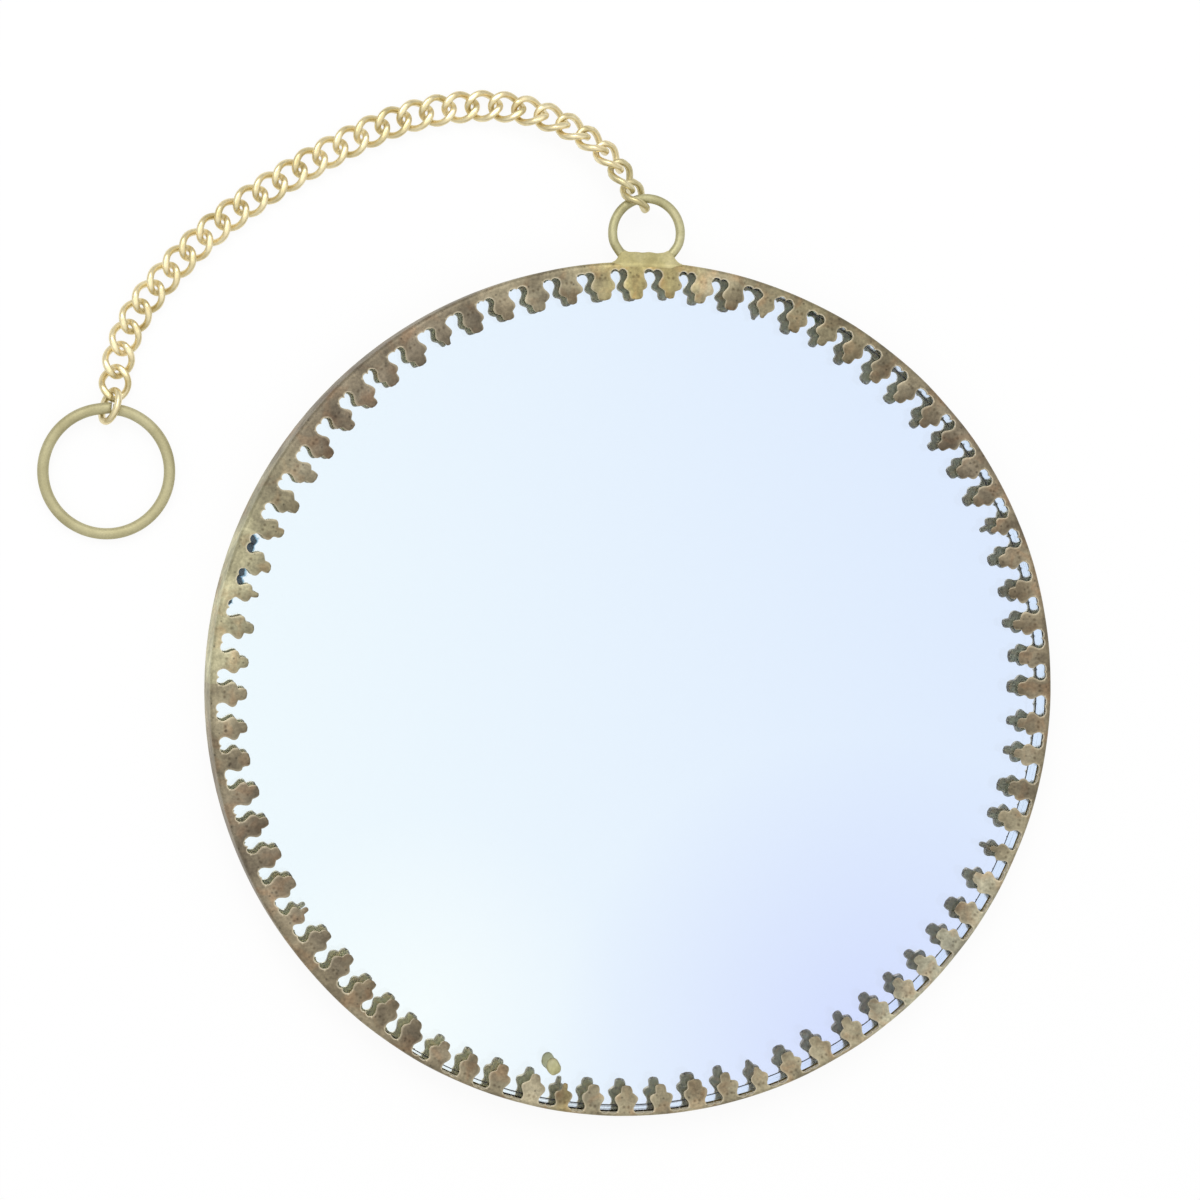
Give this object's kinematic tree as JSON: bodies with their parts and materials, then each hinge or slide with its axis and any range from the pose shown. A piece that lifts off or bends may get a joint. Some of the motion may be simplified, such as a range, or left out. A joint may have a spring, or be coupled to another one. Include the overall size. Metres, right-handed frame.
{
  "type": "round hanging mirror",
  "caption": "Round mirror in a shallow brass case with a folded, toothed gallery edge, a brazed hanger loop, a curb chain and an end ring to hang it by.",
  "frame": {"origin": "centre of the flat back face, with the mirror lying on its back", "axes": "+Z out of the glass, +Y through the hanger loop, +X to the right of a viewer facing the glass"},
  "size_m": [0.1555, 0.1553, 0.0069],
  "materials": {
    "brass_sheet": "dull, unlacquered",
    "brass_gallery": "worn, patinated",
    "brass_wire": "drawn wire, dull",
    "brass_chain": "satin",
    "braze": "as flowed",
    "glass": "clear, polished",
    "silvering": "mirror, painted back",
    "card": "pressed paper card"
  },
  "bodies": {
    "mirror": {"back_plate": "brass_sheet", "packing_card": "card", "silver_coat": "silvering", "glass_disc": "glass", "gallery_band": "brass_gallery", "hanger_loop": "brass_wire", "braze_fillet": "braze"},
    "chain_link_01": {"chain_link_01": "brass_chain"},
    "chain_link_02": {"chain_link_02": "brass_chain"},
    "chain_link_03": {"chain_link_03": "brass_chain"},
    "chain_link_04": {"chain_link_04": "brass_chain"},
    "chain_link_05": {"chain_link_05": "brass_chain"},
    "chain_link_06": {"chain_link_06": "brass_chain"},
    "chain_link_07": {"chain_link_07": "brass_chain"},
    "chain_link_08": {"chain_link_08": "brass_chain"},
    "chain_link_09": {"chain_link_09": "brass_chain"},
    "chain_link_10": {"chain_link_10": "brass_chain"},
    "chain_link_11": {"chain_link_11": "brass_chain"},
    "chain_link_12": {"chain_link_12": "brass_chain"},
    "chain_link_13": {"chain_link_13": "brass_chain"},
    "chain_link_14": {"chain_link_14": "brass_chain"},
    "chain_link_15": {"chain_link_15": "brass_chain"},
    "chain_link_16": {"chain_link_16": "brass_chain"},
    "chain_link_17": {"chain_link_17": "brass_chain"},
    "chain_link_18": {"chain_link_18": "brass_chain"},
    "chain_link_19": {"chain_link_19": "brass_chain"},
    "chain_link_20": {"chain_link_20": "brass_chain"},
    "chain_link_21": {"chain_link_21": "brass_chain"},
    "chain_link_22": {"chain_link_22": "brass_chain"},
    "chain_link_23": {"chain_link_23": "brass_chain"},
    "chain_link_24": {"chain_link_24": "brass_chain"},
    "chain_link_25": {"chain_link_25": "brass_chain"},
    "chain_link_26": {"chain_link_26": "brass_chain"},
    "chain_link_27": {"chain_link_27": "brass_chain"},
    "chain_link_28": {"chain_link_28": "brass_chain"},
    "chain_link_29": {"chain_link_29": "brass_chain"},
    "chain_link_30": {"chain_link_30": "brass_chain"},
    "chain_link_31": {"chain_link_31": "brass_chain"},
    "end_ring": {"end_ring": "brass_wire"}
  },
  "joints": [
    {"name": "link_01_swing", "type": "hinge", "parent": "mirror", "child": "chain_link_01", "pos_m": [0, 0.0694, 0.0046], "axis": [0, 0, 1], "range_deg": [-60, 7]},
    {"name": "link_02_swing", "type": "hinge", "parent": "chain_link_01", "child": "chain_link_02", "pos_m": [-0.00279, 0.07624, 0.00441], "axis": [0, 0, -1], "range_deg": [-7, 18]},
    {"name": "link_03_swing", "type": "hinge", "parent": "chain_link_02", "child": "chain_link_03", "pos_m": [-0.0046, 0.07926, 0.00403], "axis": [0, 0, 1], "range_deg": [-36, 7]},
    {"name": "link_04_swing", "type": "hinge", "parent": "chain_link_03", "child": "chain_link_04", "pos_m": [-0.00698, 0.08185, 0.00365], "axis": [0, 0, -1], "range_deg": [-7, 36]},
    {"name": "link_05_swing", "type": "hinge", "parent": "chain_link_04", "child": "chain_link_05", "pos_m": [-0.00983, 0.08392, 0.00327], "axis": [0, 0, 1], "range_deg": [-32, 7]},
    {"name": "link_06_swing", "type": "hinge", "parent": "chain_link_05", "child": "chain_link_06", "pos_m": [-0.01293, 0.08559, 0.00289], "axis": [0, 0, -1], "range_deg": [-7, 32]},
    {"name": "link_07_swing", "type": "hinge", "parent": "chain_link_06", "child": "chain_link_07", "pos_m": [-0.01622, 0.08683, 0.00251], "axis": [0, 0, 1], "range_deg": [-32, 7]},
    {"name": "link_08_swing", "type": "hinge", "parent": "chain_link_07", "child": "chain_link_08", "pos_m": [-0.01965, 0.08761, 0.00213], "axis": [0, 0, -1], "range_deg": [-7, 32]},
    {"name": "link_09_swing", "type": "hinge", "parent": "chain_link_08", "child": "chain_link_09", "pos_m": [-0.02316, 0.08793, 0.00175], "axis": [0, 0, 1], "range_deg": [-32, 7]},
    {"name": "link_10_swing", "type": "hinge", "parent": "chain_link_09", "child": "chain_link_10", "pos_m": [-0.02668, 0.08778, 0.00145], "axis": [0, 0, -1], "range_deg": [-7, 29]},
    {"name": "link_11_swing", "type": "hinge", "parent": "chain_link_10", "child": "chain_link_11", "pos_m": [-0.03017, 0.08733, 0.00135], "axis": [0, 0, 1], "range_deg": [-29, 7]},
    {"name": "link_12_swing", "type": "hinge", "parent": "chain_link_11", "child": "chain_link_12", "pos_m": [-0.03361, 0.08658, 0.00135], "axis": [0, 0, -1], "range_deg": [-7, 29]},
    {"name": "link_13_swing", "type": "hinge", "parent": "chain_link_12", "child": "chain_link_13", "pos_m": [-0.03697, 0.08554, 0.00135], "axis": [0, 0, 1], "range_deg": [-29, 8]},
    {"name": "link_14_swing", "type": "hinge", "parent": "chain_link_13", "child": "chain_link_14", "pos_m": [-0.04023, 0.08421, 0.00135], "axis": [0, 0, -1], "range_deg": [-8, 29]},
    {"name": "link_15_swing", "type": "hinge", "parent": "chain_link_14", "child": "chain_link_15", "pos_m": [-0.04337, 0.08261, 0.00135], "axis": [0, 0, 1], "range_deg": [-26, 8]},
    {"name": "link_16_swing", "type": "hinge", "parent": "chain_link_15", "child": "chain_link_16", "pos_m": [-0.04646, 0.08093, 0.00135], "axis": [0, 0, -1], "range_deg": [-9, 26]},
    {"name": "link_17_swing", "type": "hinge", "parent": "chain_link_16", "child": "chain_link_17", "pos_m": [-0.0495, 0.07916, 0.00135], "axis": [0, 0, 1], "range_deg": [-26, 9]},
    {"name": "link_18_swing", "type": "hinge", "parent": "chain_link_17", "child": "chain_link_18", "pos_m": [-0.05249, 0.07731, 0.00135], "axis": [0, 0, -1], "range_deg": [-10, 26]},
    {"name": "link_19_swing", "type": "hinge", "parent": "chain_link_18", "child": "chain_link_19", "pos_m": [-0.05543, 0.07537, 0.00135], "axis": [0, 0, 1], "range_deg": [-26, 11]},
    {"name": "link_20_swing", "type": "hinge", "parent": "chain_link_19", "child": "chain_link_20", "pos_m": [-0.05832, 0.07336, 0.00135], "axis": [0, 0, -1], "range_deg": [-12, 26]},
    {"name": "link_21_swing", "type": "hinge", "parent": "chain_link_20", "child": "chain_link_21", "pos_m": [-0.06115, 0.07127, 0.00135], "axis": [0, 0, 1], "range_deg": [-27, 12]},
    {"name": "link_22_swing", "type": "hinge", "parent": "chain_link_21", "child": "chain_link_22", "pos_m": [-0.06387, 0.06903, 0.00135], "axis": [0, 0, -1], "range_deg": [-14, 27]},
    {"name": "link_23_swing", "type": "hinge", "parent": "chain_link_22", "child": "chain_link_23", "pos_m": [-0.06648, 0.06667, 0.00135], "axis": [0, 0, 1], "range_deg": [-27, 15]},
    {"name": "link_24_swing", "type": "hinge", "parent": "chain_link_23", "child": "chain_link_24", "pos_m": [-0.06897, 0.06418, 0.00135], "axis": [0, 0, -1], "range_deg": [-17, 27]},
    {"name": "link_25_swing", "type": "hinge", "parent": "chain_link_24", "child": "chain_link_25", "pos_m": [-0.07133, 0.06157, 0.00135], "axis": [0, 0, 1], "range_deg": [-27, 19]},
    {"name": "link_26_swing", "type": "hinge", "parent": "chain_link_25", "child": "chain_link_26", "pos_m": [-0.07357, 0.05885, 0.00135], "axis": [0, 0, -1], "range_deg": [-22, 27]},
    {"name": "link_27_swing", "type": "hinge", "parent": "chain_link_26", "child": "chain_link_27", "pos_m": [-0.07566, 0.05602, 0.00135], "axis": [0, 0, 1], "range_deg": [-33, 16]},
    {"name": "link_28_swing", "type": "hinge", "parent": "chain_link_27", "child": "chain_link_28", "pos_m": [-0.07732, 0.05292, 0.00135], "axis": [0, 0, -1], "range_deg": [-16, 33]},
    {"name": "link_29_swing", "type": "hinge", "parent": "chain_link_28", "child": "chain_link_29", "pos_m": [-0.07851, 0.0496, 0.0014], "axis": [0, 0, 1], "range_deg": [-33, 16]},
    {"name": "link_30_swing", "type": "hinge", "parent": "chain_link_29", "child": "chain_link_30", "pos_m": [-0.0792, 0.04615, 0.0015], "axis": [0, 0, -1], "range_deg": [-16, 20]},
    {"name": "link_31_swing", "type": "hinge", "parent": "chain_link_30", "child": "chain_link_31", "pos_m": [-0.07939, 0.04264, 0.00191], "axis": [0, 0, 1], "range_deg": [-9, 7]},
    {"name": "ring_flap", "type": "hinge", "parent": "chain_link_31", "child": "end_ring", "pos_m": [-0.07998, 0.04054, 0.00225], "axis": [-0.9994, 0.0349, 0], "range_deg": [0, 110]}
  ]
}
